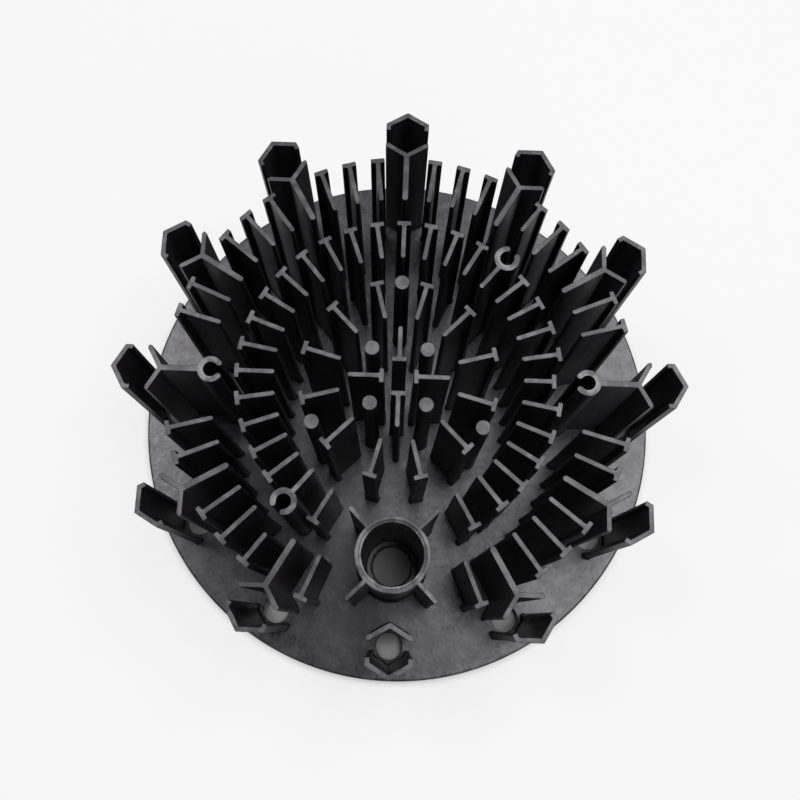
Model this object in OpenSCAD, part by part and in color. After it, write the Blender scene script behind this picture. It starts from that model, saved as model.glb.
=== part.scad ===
// Pin fin heat sink for a round high-bay lamp: one aluminium die casting.
// A flat round plate carries rings of tapered T-section fins, round pins, screw bosses,
// a rim of twelve hexagonal posts over through holes, and a tall tube for the cable.
// Millimetres, +Z up, origin at the centre of the plate's flat underside.
// Angles run clockwise from +Y when seen from above, so 180 is the tube's side.

/* [Base plate] */
// Thickness of the plate
plate_t = 6; // [4:0.5:12]
// Width of the bare rim of the plate, outside the posts' outer corners
plate_rim = 5.6; // [4:0.1:20]
// Bevel round the plate's upper rim
plate_bevel = 1; // [0.4:0.1:2]

/* [Fins] */
// Height of the fins, pins, posts and tube above the plate
fin_h = 110; // [60:1:130]
// Height of the lower fins in the two outer rings beside the tube
low_fin_h = 88; // [50:1:110]
// Height of the lower fins in the inner ring in front of the tube
mid_fin_h = 98; // [50:1:110]
// Thickness of a fin's web at its tip
fin_t = 2.2; // [1.6:0.1:2.6]
// Thickness of a fin's cap at its tip
cap_t = 2.2; // [1.6:0.1:2.8]
// Width of a fin's cap at its tip
cap_w = 6.8; // [5.5:0.1:7.2]
// Casting draft on each side of a fin, in degrees
draft = 0.25; // [0.1:0.05:0.4]

/* [Fin rings] */
// Outer ring: radius of the webs' inner ends
outer_ri = 87.7; // [86:0.1:90]
// Outer ring: radius of the caps' outer faces
outer_ro = 110; // [106:0.1:111]
// Outer ring: radius of the inner ends of webs cut short beside a middle screw boss
short_ri = 93; // [91:0.1:95]
// Middle ring: radius of the webs' inner ends
middle_ri = 58; // [56:0.1:60]
// Middle ring: radius of the caps' outer faces
middle_ro = 76.8; // [75:0.1:78]
// Middle ring: radius of the cap that faces the screw boss at +X
short_ro = 73.2; // [72:0.1:74]
// Inner ring: radius of the webs' inner ends
inner_ri = 28.3; // [27:0.1:30]
// Inner ring: radius of the caps' outer faces
inner_ro = 47.3; // [46:0.1:50]
// Centre cross: radius of the caps' faces next to the axis
core_ri = 7; // [6.5:0.1:8]
// Centre cross: radius of the webs' outer ends
core_ro = 24; // [22:0.1:25]

/* [Round pins] */
// Diameter of a round pin at its tip
pin_d = 7; // [5:0.1:7.4]
// Radius of the circle of the three outer pins
pin_far = 45.6; // [45:0.1:46.5]
// Radius of the circle of the four inner pins
pin_near = 18.5; // [17.5:0.1:19.5]

/* [Screw bosses] */
// Outer diameter of a screw boss at its tip
boss_d = 12.4; // [10:0.1:13]
// Bore of a screw boss, for a thread-forming screw
boss_bore = 5.6; // [4:0.1:6]
// Width of the slot down the side of a screw boss
boss_slot = 3.4; // [2:0.1:4]
// Radius of the screw bosses in the middle ring
boss_near = 77.7; // [77:0.1:78.5]
// Radius of the screw bosses in the outer ring
boss_far = 87.9; // [87:0.1:88.5]

/* [Hexagonal posts] */
// Radius of the circle of posts
post_r = 122.2; // [121:0.1:124]
// Outer size of a post across its corners
post_d = 24.4; // [22:0.1:25]
// Wall of a post
post_wall = 2.2; // [1.6:0.1:2.6]
// Width of the open slots in a post's two flanks
post_slot = 5.4; // [4:0.1:7]
// Thickness of the web that ties a post to its ring
post_web = 2.8; // [2:0.1:3.2]
// Diameter of the hole through the plate under a post
post_hole = 13.8; // [8:0.1:14]

/* [Cable tube] */
// Distance of the tube from the plate's centre
tube_y = 81; // [80:0.1:82]
// Outer diameter of the tube at its tip
tube_d = 34; // [32:0.1:35]
// Bore of the tube, down to the plate
tube_bore = 28; // [24:0.1:29]
// Hole through the plate inside the tube, for an M20 cable gland
gland_hole = 20.6; // [16:0.1:21]
// Distance of the tube fins' ends from the tube's centre
tube_fin_r = 28.5; // [26:0.1:29]

/* [Hidden] */
cast_black = [0.16, 0.16, 0.17];
sink = 0.5;
$fn = 48;
smooth = 96;

// The plate reaches past the posts by its rim
plate_d = 2 * (post_r + post_d / 2 + plate_rim);

// Outer ring: every 7.5 degrees, less the posts and the gaps beside the side bosses and the tube
outer_side = [7.5, 15, 22.5, 37.5, 45, 52.5, 67.5, 75, 105, 112.5, 127.5, 135, 142.5, 157.5];
outer_angles = concat(outer_side, -outer_side);
outer_short = [37.5, -142.5];
outer_low = [157.5, -157.5];
// Middle ring: every 10 degrees, open where the tube stands; two places hold screw bosses
middle_boss = [40, -140];
middle_short = [90];
middle_low = [150, -150];
middle_angles = [for (a = [-150:10:150]) if (!holds(middle_boss, a)) a];
inner_angles = [for (a = [-165:30:165]) a];
inner_low = [165, -165];
post_angles = [for (a = [-150:30:180]) a];
side_boss = [90, -90];
pin_far_angles = [0, 120, -120];
pin_near_angles = [45, 135, -135, -45];
tube_fin_angles = [45, 135, -135, -45];

function holds(list, v) = len([for (x = list) if (x == v) 1]) > 0;
function lean(h) = h * tan(draft);

module at(angle, r = 0) {
  rotate([0, 0, -angle]) translate([0, r, 0]) children();
}

// Upright plate of width w and depth d at its tip, thicker at the foot by the draft.
module blade(w, d, h) {
  foot_w = w + 2 * lean(h);
  foot_d = d + 2 * lean(h);
  translate([0, 0, plate_t - sink])
    linear_extrude(height = h + sink, scale = [w / foot_w, d / foot_d], slices = 1, $fn = 4)
      square([foot_w, foot_d], center = true);
}

// Web along +Y from radius r0 to r1.
module web(r0, r1, h = fin_h, t = fin_t) {
  translate([0, (r0 + r1) / 2, 0]) blade(t, r1 - r0, h);
}

// T fin with its cap on the outside.
module tee_fin(r_in, r_out, h = fin_h) {
  web(r_in, r_out - cap_t / 2, h);
  translate([0, r_out - cap_t / 2, 0]) blade(cap_w, cap_t, h);
}

module base_plate() {
  cylinder(d = plate_d, h = plate_t - plate_bevel, $fn = smooth);
  translate([0, 0, plate_t - plate_bevel])
    cylinder(d1 = plate_d, d2 = plate_d - 2 * plate_bevel, h = plate_bevel, $fn = smooth);
}

module outer_ring() {
  for (a = outer_angles)
    at(a) tee_fin(holds(outer_short, a) ? short_ri : outer_ri, outer_ro,
                  holds(outer_low, a) ? low_fin_h : fin_h);
}

module middle_ring() {
  for (a = middle_angles)
    at(a) tee_fin(middle_ri, holds(middle_short, a) ? short_ro : middle_ro,
                  holds(middle_low, a) ? low_fin_h : fin_h);
}

module inner_ring() {
  for (a = inner_angles)
    at(a) tee_fin(inner_ri, inner_ro, holds(inner_low, a) ? mid_fin_h : fin_h);
}

// Four T fins in a cross, with their caps round the axis.
module core_cross() {
  for (a = [0:90:270]) at(a) {
    web(core_ri + cap_t / 2, core_ro);
    translate([0, core_ri + cap_t / 2, 0]) blade(cap_w, cap_t, fin_h);
  }
}

module round_pin() {
  translate([0, 0, plate_t - sink])
    cylinder(d1 = pin_d + 2 * lean(fin_h), d2 = pin_d, h = fin_h + sink);
}

module round_pins() {
  for (a = pin_far_angles) at(a, pin_far) round_pin();
  for (a = pin_near_angles) at(a, pin_near) round_pin();
}

module boss_body() {
  translate([0, 0, plate_t - sink])
    cylinder(d1 = boss_d + 2 * lean(fin_h), d2 = boss_d, h = fin_h + sink);
}

// Bore and side slot of a screw boss; the slot opens towards +Y, or -Y when turned.
module boss_cut(turn) {
  translate([0, 0, plate_t]) cylinder(d = boss_bore, h = fin_h + 1);
  rotate([0, 0, turn]) translate([-boss_slot / 2, 0, plate_t])
    cube([boss_slot, boss_d, fin_h + 1]);
}

module screw_bosses() {
  for (a = middle_boss) at(a) {
    translate([0, boss_near, 0]) boss_body();
    web(middle_ri, boss_near - boss_bore / 2 - fin_t / 2);
  }
  for (a = side_boss) at(a, boss_far) boss_body();
}

module screw_boss_cuts() {
  for (a = middle_boss) at(a, boss_near) boss_cut(0);
  for (a = side_boss) at(a, boss_far) boss_cut(180);
}

// Hexagonal tube with a corner on the radius, open down the middle of both flanks.
module hex_post() {
  translate([0, 0, plate_t - sink]) linear_extrude(height = fin_h + sink) difference() {
    rotate(90) circle(d = post_d, $fn = 6);
    rotate(90) circle(d = post_d - 2 * post_wall / cos(30), $fn = 6);
    square([post_d + 1, post_slot], center = true);
  }
}

// Every post but the one in front of the tube has a web that runs in to the outer ring.
module posts() {
  joint_r = post_r - post_d / 2 + post_wall / 2;
  for (a = post_angles) at(a) {
    translate([0, post_r, 0]) hex_post();
    if (a != 180)
      web(holds(side_boss, a) ? boss_far + boss_bore / 2 + fin_t / 2 : outer_ri, joint_r,
          fin_h, post_web);
  }
}

module post_holes() {
  for (a = post_angles) at(a, post_r)
    translate([0, 0, -1]) cylinder(d = post_hole, h = plate_t + 2);
}

// Tall tube for the cable, with four fins at 45 degrees.
module cable_tube() {
  translate([0, -tube_y, 0]) {
    translate([0, 0, plate_t - sink])
      cylinder(d1 = tube_d + 2 * lean(fin_h), d2 = tube_d, h = fin_h + sink, $fn = smooth);
    for (a = tube_fin_angles) at(a) web((tube_bore + tube_d) / 4, tube_fin_r);
  }
}

module cable_way() {
  translate([0, -tube_y, 0]) {
    translate([0, 0, plate_t]) cylinder(d = tube_bore, h = fin_h + 1, $fn = smooth);
    translate([0, 0, -1]) cylinder(d = gland_hole, h = plate_t + 2, $fn = smooth);
  }
}

module heat_sink() {
  color(cast_black) difference() {
    union() {
      base_plate();
      outer_ring();
      middle_ring();
      inner_ring();
      core_cross();
      round_pins();
      screw_bosses();
      posts();
      cable_tube();
    }
    screw_boss_cuts();
    post_holes();
    cable_way();
  }
}

heat_sink();
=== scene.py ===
"""A die-cast pin fin heat sink: round plate, rings of T fins, split posts and a cable tube.

Sizes are in millimetres and become metres when a mesh is made. Turns are degrees clockwise
from +Y seen from above, so the cable tube stands at 180.
"""

import math

import bmesh
import bpy
from mathutils import Matrix, Vector


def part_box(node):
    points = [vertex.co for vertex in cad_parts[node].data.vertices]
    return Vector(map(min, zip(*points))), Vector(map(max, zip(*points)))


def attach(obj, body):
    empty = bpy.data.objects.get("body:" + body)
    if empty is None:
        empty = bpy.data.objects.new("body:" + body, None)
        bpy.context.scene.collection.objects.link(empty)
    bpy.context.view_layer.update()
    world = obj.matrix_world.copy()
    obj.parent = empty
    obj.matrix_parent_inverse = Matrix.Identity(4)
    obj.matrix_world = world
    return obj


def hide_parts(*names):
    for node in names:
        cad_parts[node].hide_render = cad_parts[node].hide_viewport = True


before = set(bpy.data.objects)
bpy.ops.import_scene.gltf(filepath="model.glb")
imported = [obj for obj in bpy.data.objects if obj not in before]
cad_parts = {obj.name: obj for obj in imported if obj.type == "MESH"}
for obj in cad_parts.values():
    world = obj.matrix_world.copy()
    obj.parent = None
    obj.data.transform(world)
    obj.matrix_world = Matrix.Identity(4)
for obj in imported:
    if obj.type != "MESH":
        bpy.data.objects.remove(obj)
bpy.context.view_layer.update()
MM = 0.001

# ---------------------------------------------------------------- sizes

_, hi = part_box("heat_sink")
PLATE_R = min(hi.x, hi.y) / MM
PLATE_T = 6.0
PLATE_BEVEL = 1.0
TIP_Z = hi.z / MM
FIN_H = TIP_Z - PLATE_T
LOW_FIN_H = 88.0
MID_FIN_H = 98.0
DRAFT = math.tan(math.radians(0.25))
SINK = 0.4

FIN_T = 2.2
CAP_T = 2.2
CAP_W = 6.8
OUTER_IN = 87.7
OUTER_OUT = 110.0
OUTER_SHORT_IN = 93.0
MIDDLE_IN = 58.0
MIDDLE_OUT = 76.8
MIDDLE_SHORT_OUT = 73.2
INNER_IN = 28.3
INNER_OUT = 47.3
CORE_IN = 7.0
CORE_OUT = 24.0

PIN_R = 3.5
PIN_FAR = 45.6
PIN_NEAR = 18.5

BOSS_R = 6.2
BOSS_BORE_R = 3.5
BOSS_SLOT = 3.4
BOSS_NEAR = 77.7
BOSS_FAR = 87.9

POST_CIRCLE = 122.2
POST_R = 12.2
POST_WALL = 2.2
POST_SLOT = 5.4
POST_WEB = 2.8
POST_HOLE_R = 6.9
# How much shorter the flanks of a post's inner half are
FLANK_CUT = 1.6

TUBE_Y = 81.0
TUBE_R = 17.0
TUBE_BORE_R = 14.0
GLAND_R = 10.3
GLAND_TAPER = 4.8
GLAND_FLARE = 1.0
TUBE_FIN_R = 28.5
TUBE_FIN_T = 1.9
# The small step round the tube's rim, and its foot
RIM_STEP_R = 15.35
RIM_STEP_FOOT_R = 15.1

# Fillets where a casting meets the plate
ROOT_R = 0.4
POST_ROOT_R = 0.6
TUBE_ROOT_R = 1.6
ROOT_STEPS = 4
# Rounded edges: fin tips, outline corners, and the edges of plate, holes and tube
TIP_EDGE = 0.22
TIP_STEPS = 3
LIP_STEPS = 6
CORNER_R = 0.35
NECK_R = 0.7
UNDER_EDGE = 0.3
HOLE_EDGE = 0.35
EDGE_BREAK = 0.2
RIM_EDGE = 0.4
MOUTH_EDGE = 0.45
LEDGE_EDGE = 0.6
# Share of half a web's thickness that rounds its free end
ROUND_END = 0.96
# At a join one part lies a hair lower, and a web ends inside its neighbour
JOIN_STEP = 0.02
WEB_COVER = 0.5
WEB_BITE = 0.8
# How much more the edge mark shows at a bore's mouth than at a tip: rubbed coat and painted glints
MOUTH_WEAR_AND_GLINT = 1.6

# Turns of the castings in each ring, in degrees clockwise from +Y
one_side = [7.5, 15, 22.5, 37.5, 45, 52.5, 67.5, 75, 105, 112.5, 127.5, 135, 142.5]
OUTER_TURNS = [t for t in one_side + [-t for t in one_side] if t not in (37.5, -142.5)]
OUTER_SHORT_TURNS = [37.5, -142.5]
OUTER_LOW_TURNS = [157.5, -157.5]
MIDDLE_TURNS = [t for t in range(-140, 141, 10) if t not in (40, -140, 90)]
MIDDLE_SHORT_TURNS = [90]
MIDDLE_LOW_TURNS = [150, -150]
BOSS_TURNS = [40, -140]
SIDE_BOSS_TURNS = [90, -90]
INNER_TURNS = list(range(-135, 136, 30))
INNER_LOW_TURNS = [165, -165]
POST_TURNS = list(range(-150, 181, 30))
WEB_TURNS = [t for t in POST_TURNS if t not in (180, 90, -90)]


# ---------------------------------------------------------------- outlines

def corner_loop(corners, radii, steps=3):
    """Closed outline with rounded corners.

    Each point comes with the way it moves when the outline grows by one. An outer round grows
    with its outline, and an inner one is carried along whole, so neither turns inside out.
    """
    loop = []
    count = len(corners)
    for i, corner in enumerate(corners):
        here = Vector(corner)
        back = (Vector(corners[i - 1]) - here).normalized()
        ahead = (Vector(corners[(i + 1) % count]) - here).normalized()
        side_a = Vector((-back.y, back.x))
        side_b = Vector((ahead.y, -ahead.x))
        grow = (side_a + side_b) / (1 + side_a.dot(side_b))
        r = radii[i]
        opening = back.angle(ahead)
        reach = r / math.tan(opening / 2)
        start, end = here + back * reach, here + ahead * reach
        centre = here + (back + ahead).normalized() * (r / math.sin(opening / 2))
        outer = side_a.dot(ahead) < 0
        for k in range(steps + 1):
            arm = (start - centre).slerp(end - centre, k / steps).normalized()
            loop.append((centre + arm * r, arm if outer else grow))
    return loop


def round_loop(radius, segments=32, centre=(0, 0)):
    loop = []
    for k in range(segments):
        a = 2 * math.pi * k / segments
        out = Vector((math.cos(a), math.sin(a)))
        loop.append((Vector(centre) + out * radius, out))
    return loop


def tee_loop(length, web=FIN_T):
    """T fin seen from above: round web end at y 0, cap at y = length."""
    w, c, n = web / 2, CAP_W / 2, length - CAP_T
    corners = [(w, 0), (w, n), (c, n), (c, length), (-c, length), (-c, n), (-w, n), (-w, 0)]
    end = w * ROUND_END
    return corner_loop(corners, [end, NECK_R] + [CORNER_R] * 4 + [NECK_R, end])


def web_loop(near, far, thick, round_far=False):
    """Plain web from y = near to far, with one end round and the other buried in its neighbour."""
    w = thick / 2
    corners = [(w, near), (w, far), (-w, far), (-w, near)]
    round_r, square_r = w * ROUND_END, CORNER_R
    near_r, far_r = (square_r, round_r) if round_far else (round_r, square_r)
    return corner_loop(corners, [near_r, far_r, far_r, near_r])


def chevron_loop(side):
    """Half of a hexagonal post: a corner with its flanks. Side 1 is outward, and reaches more."""
    end = POST_SLOT / 2 if side > 0 else POST_R / 2 - FLANK_CUT

    def hexagon(r):
        flat = r * math.cos(math.radians(30))
        return (flat, end), (flat, r / 2), (0, r), (-flat, r / 2), (-flat, end)

    inner_r = POST_R - POST_WALL / math.cos(math.radians(30))
    corners = list(hexagon(POST_R)) + list(reversed(hexagon(inner_r)))
    radii = [0.3, 0.4, 0.5, 0.4, 0.3, 0.3, 0.2, 0.4, 0.2, 0.3]
    if side < 0:
        corners = [(-x, -y) for x, y in corners]
    return corner_loop(corners, radii)


def split_ring_loop(segments=30):
    """Screw boss: an open ring with round lips. The gap faces +Y, and the bore has no draft."""
    mid, lip = (BOSS_R + BOSS_BORE_R) / 2, (BOSS_R - BOSS_BORE_R) / 2
    gap = math.asin((BOSS_SLOT / 2 + lip) / mid)
    first, last = math.pi / 2 + gap, math.pi * 2.5 - gap
    loop = []
    for k in range(segments + 1):
        a = first + (last - first) * k / segments
        out = Vector((math.cos(a), math.sin(a)))
        loop.append((out * BOSS_R, out))
    for a, turn in ((last, 1), (first, -1)):
        middle = Vector((math.cos(a), math.sin(a))) * mid
        for k in range(1, LIP_STEPS):
            swing = math.pi * k / LIP_STEPS
            lean = a + (swing if turn > 0 else math.pi + swing)
            out = Vector((math.cos(lean), math.sin(lean)))
            loop.append((middle + out * lip, out * 0.5))
        if turn > 0:
            for k in range(segments + 1):
                b = last - (last - first) * k / segments
                loop.append((Vector((math.cos(b), math.sin(b))) * BOSS_BORE_R, Vector((0, 0))))
    return loop


# ---------------------------------------------------------------- castings

def levels(height, root, draft, tip=TIP_EDGE):
    """Heights over the plate, with how far the outline has grown and how near the edge it is."""
    rows = [(-SINK, height * draft + root, 0.0)]
    for k in range(ROOT_STEPS + 1):
        a = math.radians(90 * k / ROOT_STEPS)
        z = root * (1 - math.cos(a))
        grown = root * (1 - math.sin(a)) + (height - z) * draft
        rows.append((z, grown, 0.0))
    for part in (0.34, 0.67):
        rows.append((height * part, height * (1 - part) * draft, 0.0))
    rows.append((height - 4 * tip, 4 * tip * draft, 0.0))
    for k in range(TIP_STEPS + 1):
        a = math.radians(90 * k / TIP_STEPS)
        rows.append((height - tip + tip * math.sin(a), -tip * (1 - math.cos(a)), 1.0))
    return rows


def stand(bm, loop, rows, edge):
    """Raises one outline through its levels into a closed body on the plate."""
    rings = []
    for z, grown, near in rows:
        ring = []
        for point, grow in loop:
            p = point + grow * grown
            v = bm.verts.new((p.x * MM, p.y * MM, (PLATE_T + z) * MM))
            # Bore points carry a stronger edge mark, for rubbed coat and painted glints at the
            # mouth.
            v[edge] = near if grow.length > 0.1 else near * MOUTH_WEAR_AND_GLINT
            ring.append(v)
        rings.append(ring)
    count = len(loop)
    for low, high in zip(rings, rings[1:]):
        for i in range(count):
            j = (i + 1) % count
            f = bm.faces.new((low[i], low[j], high[j], high[i]))
            f.smooth = True
    bm.faces.new(rings[-1])
    bm.faces.new(list(reversed(rings[0])))


def to_object(bm, name):
    """Turns every face outward and makes the body an object of the scene."""
    bmesh.ops.recalc_face_normals(bm, faces=bm.faces)
    mesh = bpy.data.meshes.new(name)
    bm.to_mesh(mesh)
    bm.free()
    obj = bpy.data.objects.new(name, mesh)
    bpy.context.scene.collection.objects.link(obj)
    return obj


def casting(name, loops, height, root=ROOT_R, draft=DRAFT):
    """One upright body for each outline. Each is a hair lower than the one before, at a join."""
    bm = bmesh.new()
    edge = bm.verts.layers.float.new("edge")
    for k, loop in enumerate(loops):
        stand(bm, loop, levels(height - k * JOIN_STEP, root, draft), edge)
    bmesh.ops.remove_doubles(bm, verts=bm.verts, dist=1e-7)
    return to_object(bm, name)


def spin(bm, edge, centre, profile, segments, closed=False):
    """Turns a run of (radius, height, edge) about an upright line. Gives back its rings."""
    rings = []
    for r, z, near in profile:
        ring = []
        for k in range(segments):
            a = 2 * math.pi * k / segments
            x, y = centre[0] + r * math.cos(a), centre[1] + r * math.sin(a)
            v = bm.verts.new((x * MM, y * MM, z * MM))
            v[edge] = near
            ring.append(v)
        rings.append(ring)
    after = rings[1:] + rings[:1] if closed else rings[1:]
    for low, high in zip(rings, after):
        for i in range(segments):
            j = (i + 1) % segments
            bm.faces.new((low[i], low[j], high[j], high[i])).smooth = True
    return rings


def lathe(name, profile, centre, segments=128):
    """Closed body of revolution, from a closed profile."""
    bm = bmesh.new()
    edge = bm.verts.layers.float.new("edge")
    spin(bm, edge, centre, profile, segments, closed=True)
    return to_object(bm, name)


def arc(r0, z0, radius, start, end, steps, near=0.0):
    """Points on a rounded edge of a profile, from one bearing to another in degrees."""
    made = []
    for k in range(steps + 1):
        a = math.radians(start + (end - start) * k / steps)
        made.append((r0 + radius * math.cos(a), z0 + radius * math.sin(a), near))
    return made


def hole_foot(radius):
    """Softened lower edge of a hole."""
    r = radius + UNDER_EDGE
    return [(r, 0, 1)] + arc(r, UNDER_EDGE, UNDER_EDGE, 240, 180, 2, 1.0)


def drilled_plate(name):
    """Round plate with its holes: every wall, then both faces filled between the edges."""
    bm = bmesh.new()
    edge = bm.verts.layers.float.new("edge")
    rim = [(PLATE_R - UNDER_EDGE, 0, 1)]
    rim += arc(PLATE_R - UNDER_EDGE, UNDER_EDGE, UNDER_EDGE, -60, 0, 2, 1.0)
    rim += arc(PLATE_R - PLATE_BEVEL, PLATE_T - PLATE_BEVEL, PLATE_BEVEL, 0, 90, 5, 1.0)
    walls = [spin(bm, edge, (0, 0), rim, 256)]
    for turn in POST_TURNS:
        a = math.radians(turn)
        centre = (POST_CIRCLE * math.sin(a), POST_CIRCLE * math.cos(a))
        hole = hole_foot(POST_HOLE_R)
        hole += arc(POST_HOLE_R + HOLE_EDGE, PLATE_T - HOLE_EDGE, HOLE_EDGE, 180, 90, 3, 1.0)
        walls.append(spin(bm, edge, centre, hole, 48))
    mouth_r = GLAND_R + GLAND_FLARE
    gland = hole_foot(GLAND_R)
    gland += [(GLAND_R, PLATE_T - GLAND_TAPER, 0.0), (mouth_r, PLATE_T - EDGE_BREAK, 0.5)]
    gland += [(mouth_r + EDGE_BREAK, PLATE_T, 1.0)]
    walls.append(spin(bm, edge, (0, -TUBE_Y), gland, 96))
    for which in (0, -1):
        lines = []
        for rings in walls:
            ring = rings[which]
            lines += [bm.edges.get((ring[i - 1], ring[i])) for i in range(len(ring))]
        bmesh.ops.triangle_fill(bm, edges=lines, use_beauty=True)
    return to_object(bm, name)


# ---------------------------------------------------------------- finishes

def socket(group, name, kind, way, value=None):
    made = group.interface.new_socket(name, in_out=way, socket_type=kind)
    if value is not None:
        made.default_value = value


def cast_skin_group():
    """Black coat over die-cast metal: mottling, grain, drag lines, settled dust, painted shade on
    faces that do not look up, and rubbed edges that carry painted glints.
    """
    g = bpy.data.node_groups.new("Cast skin", "ShaderNodeTree")
    socket(g, "Position", "NodeSocketVector", "INPUT")
    socket(g, "Up", "NodeSocketFloat", "INPUT", 0.0)
    socket(g, "Edge", "NodeSocketFloat", "INPUT", 0.0)
    socket(g, "Coat", "NodeSocketColor", "INPUT", (0.05, 0.048, 0.052, 1))
    socket(g, "Thin coat and glint", "NodeSocketColor", "INPUT", (0.2, 0.2, 0.205, 1))
    socket(g, "Dust", "NodeSocketColor", "INPUT", (0.4, 0.4, 0.41, 1))
    socket(g, "Base roughness", "NodeSocketFloat", "INPUT", 0.4)
    socket(g, "Dust amount", "NodeSocketFloat", "INPUT", 0.3)
    socket(g, "Wear and glint amount", "NodeSocketFloat", "INPUT", 0.5)
    socket(g, "Colour", "NodeSocketColor", "OUTPUT")
    socket(g, "Roughness", "NodeSocketFloat", "OUTPUT")
    socket(g, "Height", "NodeSocketFloat", "OUTPUT")
    socket(g, "Film", "NodeSocketFloat", "OUTPUT")
    n, link = g.nodes, g.links.new
    inp = n.new("NodeGroupInput")
    out = n.new("NodeGroupOutput")

    def noise(scale, detail, rough, vector, seed=0.0):
        t = n.new("ShaderNodeTexNoise")
        t.noise_dimensions = "4D"
        t.inputs["Scale"].default_value = scale
        t.inputs["Detail"].default_value = detail
        t.inputs["Roughness"].default_value = rough
        t.inputs["W"].default_value = seed
        link(vector, t.inputs["Vector"])
        return t.outputs["Fac"]

    def span(value, a, b, c, d):
        m = n.new("ShaderNodeMapRange")
        for key, number in zip(("From Min", "From Max", "To Min", "To Max"), (a, b, c, d)):
            m.inputs[key].default_value = number
        link(value, m.inputs["Value"])
        return m.outputs["Result"]

    def maths(kind, a, b):
        m = n.new("ShaderNodeMath")
        m.operation = kind
        for i, value in enumerate((a, b)):
            if isinstance(value, (int, float)):
                m.inputs[i].default_value = value
            else:
                link(value, m.inputs[i])
        return m.outputs["Value"]

    def mix(factor, a, b, kind="MIX"):
        m = n.new("ShaderNodeMix")
        m.data_type = "RGBA"
        m.blend_type = kind
        for key, value in (("Factor", factor), ("A", a), ("B", b)):
            target = [s for s in m.inputs if s.name == key and s.enabled][0]
            if isinstance(value, (int, float, tuple)):
                target.default_value = value
            else:
                link(value, target)
        return [s for s in m.outputs if s.enabled][0]

    pos = inp.outputs["Position"]
    drag = n.new("ShaderNodeMapping")
    drag.inputs["Scale"].default_value = (1, 1, 0.04)
    link(pos, drag.inputs["Vector"])
    mottle = noise(32, 4, 0.55, pos)
    blotch = noise(150, 3, 0.6, pos, 3.0)
    grain = noise(1300, 2, 0.5, pos, 5.0)
    peel = noise(480, 2, 0.5, pos, 7.0)
    lines = noise(520, 3, 0.6, drag.outputs["Vector"], 9.0)
    upward = span(inp.outputs["Up"], 0.3, 0.9, 0.0, 1.0)

    shade = span(mottle, 0.3, 0.7, 0.93, 1.08)
    shade = maths("MULTIPLY", shade, span(blotch, 0.3, 0.7, 0.90, 1.12))
    shade = maths("MULTIPLY", shade, span(peel, 0.3, 0.7, 0.86, 1.16))
    pit = n.new("ShaderNodeTexVoronoi")
    pit.inputs["Scale"].default_value = 120
    link(pos, pit.inputs["Vector"])
    chosen = n.new("ShaderNodeSeparateColor")
    link(pit.outputs["Color"], chosen.inputs["Color"])
    pit_size = span(chosen.outputs["Green"], 0.86, 1.0, 0.0, 0.10)
    pitted = span(maths("SUBTRACT", pit_size, pit.outputs["Distance"]), 0.0, 0.03, 1.0, 0.25)
    shade = maths("MULTIPLY", shade, pitted)
    bright = n.new("ShaderNodeVectorMath")
    bright.operation = "SCALE"
    # Faces that do not look up get a darker, purplish coat: painted shade on the sides.
    side = mix(upward, (0.62, 0.54, 0.60, 1), (1.0, 1.0, 1.0, 1))
    coat_with_side_shade = mix(1.0, inp.outputs["Coat"], side, "MULTIPLY")
    link(coat_with_side_shade, bright.inputs[0])
    link(shade, bright.inputs["Scale"])

    # Rubbed edges turn towards the lighter edge colour: partly real coat loss, partly painted
    # glints.
    wear_and_glint_mask = maths("MULTIPLY", inp.outputs["Edge"], span(blotch, 0.46, 0.60, 0.12, 1.0))
    wear_and_glint_mask = maths("MULTIPLY", wear_and_glint_mask, inp.outputs["Wear and glint amount"])
    colour = mix(wear_and_glint_mask, bright.outputs["Vector"], inp.outputs["Thin coat and glint"])

    fleck = n.new("ShaderNodeTexVoronoi")
    fleck.inputs["Scale"].default_value = 260
    fleck.inputs["Randomness"].default_value = 1.0
    link(pos, fleck.inputs["Vector"])
    keep = n.new("ShaderNodeSeparateColor")
    link(fleck.outputs["Color"], keep.inputs["Color"])
    size = span(keep.outputs["Red"], 0.78, 1.0, 0.0, 0.13)
    dot = span(maths("SUBTRACT", size, fleck.outputs["Distance"]), 0.0, 0.03, 0.0, 1.0)
    haze = span(noise(60, 5, 0.65, pos, 13.0), 0.5, 0.8, 0.0, 0.12)
    settled = maths("MULTIPLY", maths("MAXIMUM", dot, haze), upward)
    settled = maths("MULTIPLY", settled, inp.outputs["Dust amount"])
    colour = mix(settled, colour, inp.outputs["Dust"])

    rough = maths("ADD", inp.outputs["Base roughness"], span(mottle, 0.3, 0.7, -0.02, 0.02))
    rough = maths("ADD", rough, span(peel, 0.3, 0.7, -0.04, 0.04))
    rough = maths("ADD", rough, span(pitted, 0.25, 1.0, 0.25, 0.0))
    rough = maths("ADD", rough, span(lines, 0.3, 0.7, -0.04, 0.04))
    rough = maths("ADD", rough, maths("MULTIPLY", settled, 0.35))
    rough = maths("SUBTRACT", rough, maths("MULTIPLY", wear_and_glint_mask, 0.1))

    height = maths("ADD", maths("MULTIPLY", grain, 0.35), maths("MULTIPLY", peel, 0.65))
    height = maths("ADD", height, maths("MULTIPLY", lines, 0.4))
    height = maths("ADD", height, maths("MULTIPLY", blotch, 0.8))

    link(colour, out.inputs["Colour"])
    link(rough, out.inputs["Roughness"])
    link(height, out.inputs["Height"])
    link(maths("MULTIPLY", upward, span(blotch, 0.3, 0.7, 0.82, 1.0)), out.inputs["Film"])


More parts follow.
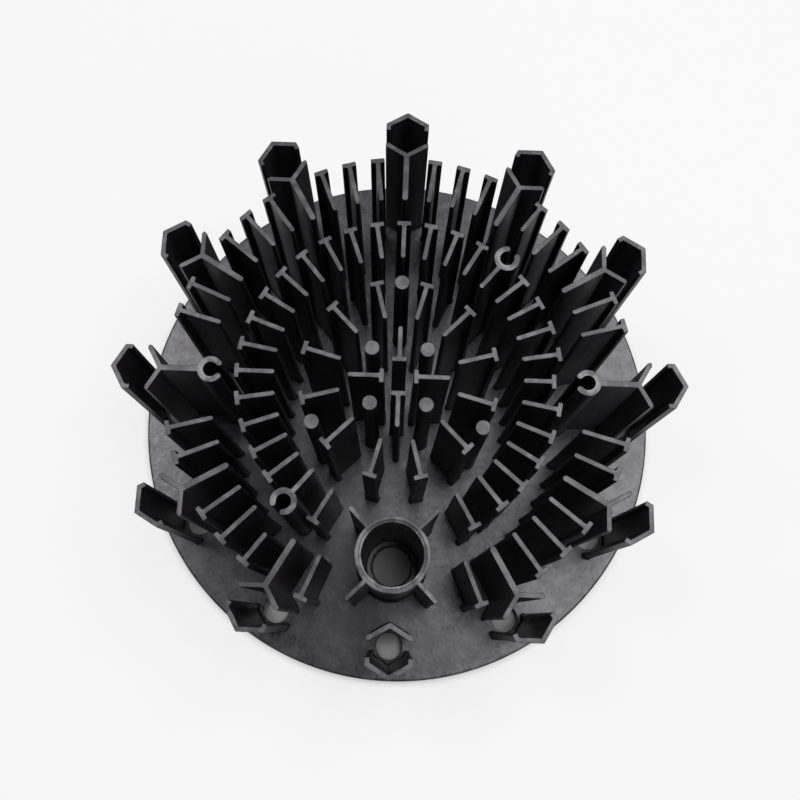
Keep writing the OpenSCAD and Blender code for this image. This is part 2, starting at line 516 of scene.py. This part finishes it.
def coat_finish(name, coat, roughness, gloss, dust, wear_and_glint, bump, thin_coat_and_glint, film):
    """Satin black coat on one kind of piece. A film shines only on the faces that look up."""
    m = bpy.data.materials.new(name)
    m.use_nodes = True
    n, link = m.node_tree.nodes, m.node_tree.links.new
    n.clear()
    out = n.new("ShaderNodeOutputMaterial")
    shader = n.new("ShaderNodeBsdfPrincipled")
    where = n.new("ShaderNodeTexCoord")
    facing = n.new("ShaderNodeNewGeometry")
    split = n.new("ShaderNodeSeparateXYZ")
    edge = n.new("ShaderNodeAttribute")
    edge.attribute_name = "edge"
    skin = n.new("ShaderNodeGroup")
    skin.node_tree = bpy.data.node_groups["Cast skin"]
    relief = n.new("ShaderNodeBump")
    link(facing.outputs["Normal"], split.inputs["Vector"])
    link(where.outputs["Object"], skin.inputs["Position"])
    link(split.outputs["Z"], skin.inputs["Up"])
    link(edge.outputs["Fac"], skin.inputs["Edge"])
    skin.inputs["Coat"].default_value = (*coat, 1)
    skin.inputs["Thin coat and glint"].default_value = thin_coat_and_glint
    skin.inputs["Base roughness"].default_value = roughness
    skin.inputs["Dust amount"].default_value = dust
    skin.inputs["Wear and glint amount"].default_value = wear_and_glint
    relief.inputs["Strength"].default_value = bump
    relief.inputs["Distance"].default_value = 0.00012
    link(skin.outputs["Height"], relief.inputs["Height"])
    link(skin.outputs["Colour"], shader.inputs["Base Color"])
    link(skin.outputs["Roughness"], shader.inputs["Roughness"])
    link(relief.outputs["Normal"], shader.inputs["Normal"])
    shader.inputs["Specular IOR Level"].default_value = gloss
    shader.inputs["Specular Tint"].default_value = (0.96, 0.94, 1.0, 1)
    if film:
        link(skin.outputs["Film"], shader.inputs["Coat Weight"])
        shader.inputs["Coat Roughness"].default_value = roughness
        shader.inputs["Coat IOR"].default_value = film
    link(shader.outputs["BSDF"], out.inputs["Surface"])
    return m


cast_skin_group()
fin_coat = coat_finish(
    "fin_coat", coat=(0.030, 0.029, 0.032), roughness=0.36, gloss=0.12, dust=0.25,
    wear_and_glint=0.35, bump=0.3, thin_coat_and_glint=(0.2, 0.2, 0.205, 1), film=1.38)
plate_coat = coat_finish(
    "plate_coat", coat=(0.022, 0.021, 0.026), roughness=0.28, gloss=0.55, dust=0.40,
    wear_and_glint=0.30, bump=0.6, thin_coat_and_glint=(0.2, 0.2, 0.205, 1), film=None)
# The tube's lighter edge colour stands partly for rubbed coat and partly for painted glints on its
# rim and mouth.
tube_coat = coat_finish(
    "tube_coat", coat=(0.026, 0.024, 0.027), roughness=0.32, gloss=0.08, dust=0.25,
    wear_and_glint=0.36, bump=0.4, thin_coat_and_glint=(0.42, 0.42, 0.43, 1), film=1.33)


# ---------------------------------------------------------------- rings

def ring_tree():
    """Sets one casting at every place on a circle round the axis."""
    g = bpy.data.node_groups.new("Set round the axis", "GeometryNodeTree")
    socket(g, "Places", "NodeSocketGeometry", "INPUT")
    socket(g, "Casting", "NodeSocketObject", "INPUT")
    socket(g, "Circle radius", "NodeSocketFloat", "INPUT")
    socket(g, "Faces in", "NodeSocketFloat", "INPUT")
    socket(g, "Finish", "NodeSocketMaterial", "INPUT")
    socket(g, "Ring", "NodeSocketGeometry", "OUTPUT")
    n, link = g.nodes, g.links.new
    inp = n.new("NodeGroupInput")
    out = n.new("NodeGroupOutput")
    turn = n.new("GeometryNodeInputNamedAttribute")
    turn.data_type = "FLOAT"
    turn.inputs["Name"].default_value = "turn"

    def maths(kind, a, b=None):
        m = n.new("ShaderNodeMath")
        m.operation = kind
        link(a, m.inputs[0])
        if isinstance(b, (int, float)):
            m.inputs[1].default_value = b
        elif b is not None:
            link(b, m.inputs[1])
        return m.outputs["Value"]

    angle = turn.outputs["Attribute"]
    across = maths("MULTIPLY", maths("SINE", angle), inp.outputs["Circle radius"])
    along = maths("MULTIPLY", maths("COSINE", angle), inp.outputs["Circle radius"])
    place = n.new("ShaderNodeCombineXYZ")
    link(across, place.inputs["X"])
    link(along, place.inputs["Y"])
    move = n.new("GeometryNodeSetPosition")
    link(inp.outputs["Places"], move.inputs["Geometry"])
    link(place.outputs["Vector"], move.inputs["Position"])
    facing = n.new("ShaderNodeCombineXYZ")
    back = maths("MULTIPLY", inp.outputs["Faces in"], math.pi)
    link(maths("SUBTRACT", back, angle), facing.inputs["Z"])
    body = n.new("GeometryNodeObjectInfo")
    link(inp.outputs["Casting"], body.inputs["Object"])
    put = n.new("GeometryNodeInstanceOnPoints")
    link(move.outputs["Geometry"], put.inputs["Points"])
    link(body.outputs["Geometry"], put.inputs["Instance"])
    link(facing.outputs["Vector"], put.inputs["Rotation"])
    real = n.new("GeometryNodeRealizeInstances")
    link(put.outputs["Instances"], real.inputs["Geometry"])
    finish = n.new("GeometryNodeSetMaterial")
    link(real.outputs["Geometry"], finish.inputs["Geometry"])
    link(inp.outputs["Finish"], finish.inputs["Material"])
    link(finish.outputs["Geometry"], out.inputs["Ring"])


def set_round(name, body, turns, radius, finish, faces_in=False):
    """One plain mesh with the casting at every turn, its place in its vertices."""
    places = bpy.data.meshes.new(name + "_places")
    places.from_pydata([(0, 0, 0)] * len(turns), [], [])
    mark = places.attributes.new("turn", "FLOAT", "POINT")
    mark.data.foreach_set("value", [math.radians(t) for t in turns])
    carrier = bpy.data.objects.new(name + "_carrier", places)
    bpy.context.scene.collection.objects.link(carrier)
    mod = carrier.modifiers.new("ring", "NODES")
    mod.node_group = bpy.data.node_groups["Set round the axis"]
    wanted = {
        "Casting": body,
        "Circle radius": radius * MM,
        "Faces in": 1.0 if faces_in else 0.0,
        "Finish": finish,
    }
    for item in mod.node_group.interface.items_tree:
        if item.in_out == "INPUT" and item.name in wanted:
            mod[item.identifier] = wanted[item.name]
    bpy.context.view_layer.update()
    seen = carrier.evaluated_get(bpy.context.evaluated_depsgraph_get())
    mesh = bpy.data.meshes.new_from_object(seen)
    mesh.name = name
    bpy.data.objects.remove(carrier)
    bpy.data.objects.remove(body)
    obj = bpy.data.objects.new(name, mesh)
    bpy.context.scene.collection.objects.link(obj)
    return obj


def keep(obj, finish=None):
    """A finished piece of the casting: even shading, its body, and what it stands for."""
    if finish is not None:
        obj.data.materials.clear()
        obj.data.materials.append(finish)
    even = obj.modifiers.new("even_shading", "WEIGHTED_NORMAL")
    even.mode = "FACE_AREA"
    even.keep_sharp = True
    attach(obj, "root")
    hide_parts("heat_sink")


def join(name, parts):
    """Makes one mesh of several that stand in the same ring."""
    with bpy.context.temp_override(
        active_object=parts[0], object=parts[0], selected_objects=parts,
        selected_editable_objects=parts,
    ):
        bpy.ops.object.join()
    parts[0].name = name
    parts[0].data.name = name
    return parts[0]


ring_tree()


def outer_fins():
    long_fin = casting("outer_fin", [tee_loop(OUTER_OUT - OUTER_IN)], FIN_H)
    short_fin = casting("outer_short_fin", [tee_loop(OUTER_OUT - OUTER_SHORT_IN)], FIN_H)
    low_fin = casting("outer_low_fin", [tee_loop(OUTER_OUT - OUTER_IN)], LOW_FIN_H)
    return join("outer_fins", [
        set_round("outer_long", long_fin, OUTER_TURNS, OUTER_IN, fin_coat),
        set_round("outer_short", short_fin, OUTER_SHORT_TURNS, OUTER_SHORT_IN, fin_coat),
        set_round("outer_low", low_fin, OUTER_LOW_TURNS, OUTER_IN, fin_coat),
    ])


def middle_fins():
    fin = casting("middle_fin", [tee_loop(MIDDLE_OUT - MIDDLE_IN)], FIN_H)
    short_fin = casting("middle_short_fin", [tee_loop(MIDDLE_SHORT_OUT - MIDDLE_IN)], FIN_H)
    low_fin = casting("middle_low_fin", [tee_loop(MIDDLE_OUT - MIDDLE_IN)], LOW_FIN_H)
    return join("middle_fins", [
        set_round("middle_long", fin, MIDDLE_TURNS, MIDDLE_IN, fin_coat),
        set_round("middle_short", short_fin, MIDDLE_SHORT_TURNS, MIDDLE_IN, fin_coat),
        set_round("middle_low", low_fin, MIDDLE_LOW_TURNS, MIDDLE_IN, fin_coat),
    ])


def inner_fins():
    fin = casting("inner_fin", [tee_loop(INNER_OUT - INNER_IN)], FIN_H)
    low_fin = casting("inner_low_fin", [tee_loop(INNER_OUT - INNER_IN)], MID_FIN_H)
    core_fin = casting("core_fin", [tee_loop(CORE_OUT - CORE_IN)], FIN_H)
    return join("inner_fins", [
        set_round("inner_long", fin, INNER_TURNS, INNER_IN, fin_coat),
        set_round("inner_low", low_fin, INNER_LOW_TURNS, INNER_IN, fin_coat),
        set_round("core_cross", core_fin, [0, 90, 180, 270], CORE_OUT, fin_coat, True),
    ])


def round_pins():
    far_pin = casting("far_pin", [round_loop(PIN_R)], FIN_H)
    near_pin = casting("near_pin", [round_loop(PIN_R)], FIN_H)
    return join("round_pins", [
        set_round("far_pins", far_pin, [0, 120, -120], PIN_FAR, fin_coat),
        set_round("near_pins", near_pin, [45, 135, -135, -45], PIN_NEAR, fin_coat),
    ])


def screw_bosses():
    web = web_loop(MIDDLE_IN - BOSS_NEAR, -BOSS_BORE_R - WEB_COVER, FIN_T)
    near_boss = casting("near_boss", [split_ring_loop(), web], FIN_H)
    far_boss = casting("far_boss", [split_ring_loop()], FIN_H)
    return join("screw_bosses", [
        set_round("near_bosses", near_boss, BOSS_TURNS, BOSS_NEAR, tube_coat),
        set_round("far_bosses", far_boss, SIDE_BOSS_TURNS, -BOSS_FAR, tube_coat),
    ])


def hexagonal_posts():
    joint = POST_CIRCLE - POST_R + POST_WALL * WEB_BITE
    halves = casting("post", [chevron_loop(1), chevron_loop(-1)], FIN_H, POST_ROOT_R, 0.0)
    web_h = FIN_H - 2 * JOIN_STEP
    web = casting("post_web", [web_loop(0, joint - OUTER_IN, POST_WEB)], web_h)
    start = BOSS_FAR + BOSS_BORE_R + WEB_COVER
    side_web = casting("side_post_web", [web_loop(0, joint - start, POST_WEB)], web_h)
    return join("hexagonal_posts", [
        set_round("posts", halves, POST_TURNS, POST_CIRCLE, fin_coat),
        set_round("post_webs", web, WEB_TURNS, OUTER_IN, fin_coat),
        set_round("side_webs", side_web, SIDE_BOSS_TURNS, start, fin_coat),
    ])


def cable_tube():
    lean = FIN_H * DRAFT
    foot = TUBE_R + lean
    root = TUBE_ROOT_R
    outside = [(foot + root, PLATE_T - SINK, 0.0)]
    outside += [(r, z, 0.0) for r, z, _ in reversed(
        arc(foot + root, PLATE_T + root, root, 180, 270, 5))]
    outside += [(TUBE_R + lean / 2, PLATE_T + FIN_H / 2, 0.0), (TUBE_R, TIP_Z - 1.2, 0.0)]
    # The rim's edge marks stand for rubbed coat and painted glints, strongest at the mouth.
    rim = arc(TUBE_R - RIM_EDGE, TIP_Z - RIM_EDGE, RIM_EDGE, 0, 90, 3, 1.0)
    rim += arc(RIM_STEP_R, TIP_Z - EDGE_BREAK, EDGE_BREAK, 90, 180, 2, 0.8)
    rim += [(RIM_STEP_FOOT_R, TIP_Z - MOUTH_EDGE, 0.2)]
    rim += arc(
        TUBE_BORE_R + MOUTH_EDGE, TIP_Z - 2 * MOUTH_EDGE, MOUTH_EDGE, 90, 180, 3, MOUTH_WEAR_AND_GLINT)
    inside = [(TUBE_BORE_R, TIP_Z - 3, 0.0), (TUBE_BORE_R, PLATE_T + 40, 0.0)]
    inside += [(r, z, 0.0) for r, z, _ in arc(
        TUBE_BORE_R - LEDGE_EDGE, PLATE_T + LEDGE_EDGE, LEDGE_EDGE, 0, -90, 3)]
    inside += [(TUBE_BORE_R - LEDGE_EDGE, PLATE_T - SINK, 0.0)]
    tube = lathe("cable_tube", outside + rim + inside, (0, -TUBE_Y))
    fin = casting("tube_fin", [web_loop(TUBE_R - 0.9, TUBE_FIN_R, TUBE_FIN_T, True)],
                  FIN_H - JOIN_STEP)
    fins = set_round("tube_fins", fin, [45, 135, -135, -45], 0.0, tube_coat)
    for v in fins.data.vertices:
        v.co.y -= TUBE_Y * MM
    tube.data.materials.append(tube_coat)
    return join("cable_tube", [tube, fins])


keep(drilled_plate("base_plate"), plate_coat)
keep(outer_fins())
keep(middle_fins())
keep(inner_fins())
keep(round_pins())
keep(screw_bosses())
keep(hexagonal_posts())
keep(cable_tube())


# ---------------------------------------------------------------- studio

FLOOR_REACH = 4.0
FLOOR_GAP = 0.0004
FLOOR_GREY = (0.86, 0.86, 0.86, 1)
BACKDROP_GREY = (0.96, 0.96, 0.96, 1)
AIR_STRENGTH = 0.07
# Name, place, size in metres and watts of each lamp; all face the casting
LAMP_AIM = (0, 0, 0.05)
LAMPS = [
    ("overhead", (0.45, 0.26, 1.5), (0.95, 1.1), 18),
    ("left_side", (-0.58, 0.32, 1.35), (0.55, 0.6), 7),
    ("front_fill", (0.6, -1.1, 1.1), (0.6, 0.5), 2.0),
]
CAMERA_PLACE = (-0.0010569, -0.1097023, 0.6046453)
CAMERA_TILT = 0.284
CAMERA_ROLL = 0.0376


def pale_floor():
    """White ground a hair under the plate. It glows beyond the plate, for a lens only."""
    mesh = bpy.data.meshes.new("floor")
    reach, z = FLOOR_REACH, -FLOOR_GAP
    mesh.from_pydata(
        [(-reach, -reach, z), (reach, -reach, z), (reach, reach, z), (-reach, reach, z)],
        [], [(0, 1, 2, 3)])
    floor = bpy.data.objects.new("floor", mesh)
    bpy.context.scene.collection.objects.link(floor)
    m = bpy.data.materials.new("pale_floor")
    m.use_nodes = True
    n, link = m.node_tree.nodes, m.node_tree.links.new
    n.clear()
    out = n.new("ShaderNodeOutputMaterial")
    paper = n.new("ShaderNodeBsdfPrincipled")
    paper.inputs["Base Color"].default_value = FLOOR_GREY
    paper.inputs["Roughness"].default_value = 0.9
    glow = n.new("ShaderNodeEmission")
    glow.inputs["Color"].default_value = BACKDROP_GREY
    glow.inputs["Strength"].default_value = 1.0
    seen = n.new("ShaderNodeLightPath")
    where = n.new("ShaderNodeTexCoord")
    reach_out = n.new("ShaderNodeVectorMath")
    reach_out.operation = "LENGTH"
    beyond = n.new("ShaderNodeMapRange")
    beyond.inputs["From Min"].default_value = (PLATE_R - 4) * MM
    beyond.inputs["From Max"].default_value = (PLATE_R + 4) * MM
    beyond.inputs["To Max"].default_value = 0.8
    share = n.new("ShaderNodeMath")
    share.operation = "MULTIPLY"
    mixed = n.new("ShaderNodeMixShader")
    link(where.outputs["Object"], reach_out.inputs[0])
    link(reach_out.outputs["Value"], beyond.inputs["Value"])
    link(beyond.outputs["Result"], share.inputs[1])
    link(seen.outputs["Is Camera Ray"], share.inputs[0])
    link(share.outputs["Value"], mixed.inputs["Fac"])
    link(paper.outputs["BSDF"], mixed.inputs[1])
    link(glow.outputs["Emission"], mixed.inputs[2])
    link(mixed.outputs["Shader"], out.inputs["Surface"])
    mesh.materials.append(m)


def soft_lamp(name, place, aim, size, watts):
    data = bpy.data.lights.new(name, "AREA")
    data.shape = "RECTANGLE"
    data.size, data.size_y = size
    data.energy = watts
    lamp = bpy.data.objects.new(name, data)
    lamp.location = place
    way = Vector(aim) - Vector(place)
    lamp.rotation_euler = way.to_track_quat("-Z", "Y").to_euler()
    bpy.context.scene.collection.objects.link(lamp)


def studio():
    pale_floor()
    for name, place, size, watts in LAMPS:
        soft_lamp(name, place, LAMP_AIM, size, watts)
    world = bpy.data.worlds.new("studio_world")
    bpy.context.scene.world = world
    world.use_nodes = True
    n, link = world.node_tree.nodes, world.node_tree.links.new
    n.clear()
    out = n.new("ShaderNodeOutputWorld")
    air = n.new("ShaderNodeBackground")
    air.inputs["Color"].default_value = (1, 1, 1, 1)
    air.inputs["Strength"].default_value = AIR_STRENGTH
    wall = n.new("ShaderNodeBackground")
    wall.inputs["Color"].default_value = BACKDROP_GREY
    wall.inputs["Strength"].default_value = 1.0
    seen = n.new("ShaderNodeLightPath")
    mixed = n.new("ShaderNodeMixShader")
    link(seen.outputs["Is Camera Ray"], mixed.inputs["Fac"])
    link(air.outputs["Background"], mixed.inputs[1])
    link(wall.outputs["Background"], mixed.inputs[2])
    link(mixed.outputs["Shader"], out.inputs["Surface"])


def camera():
    data = bpy.data.cameras.new("camera")
    data.sensor_width = 36
    data.lens = 48.42
    data.shift_x = 0.0153
    data.shift_y = -0.1156
    data.clip_start = 0.01
    cam = bpy.data.objects.new("camera", data)
    tilt = Matrix.Rotation(CAMERA_TILT, 4, "X")
    roll = Matrix.Rotation(CAMERA_ROLL, 4, "Z")
    place = Matrix.Translation(CAMERA_PLACE)
    cam.matrix_world = place @ roll @ tilt
    bpy.context.scene.collection.objects.link(cam)
    bpy.context.scene.camera = cam


studio()
camera()
view = bpy.context.scene.view_settings
view.view_transform = "Standard"
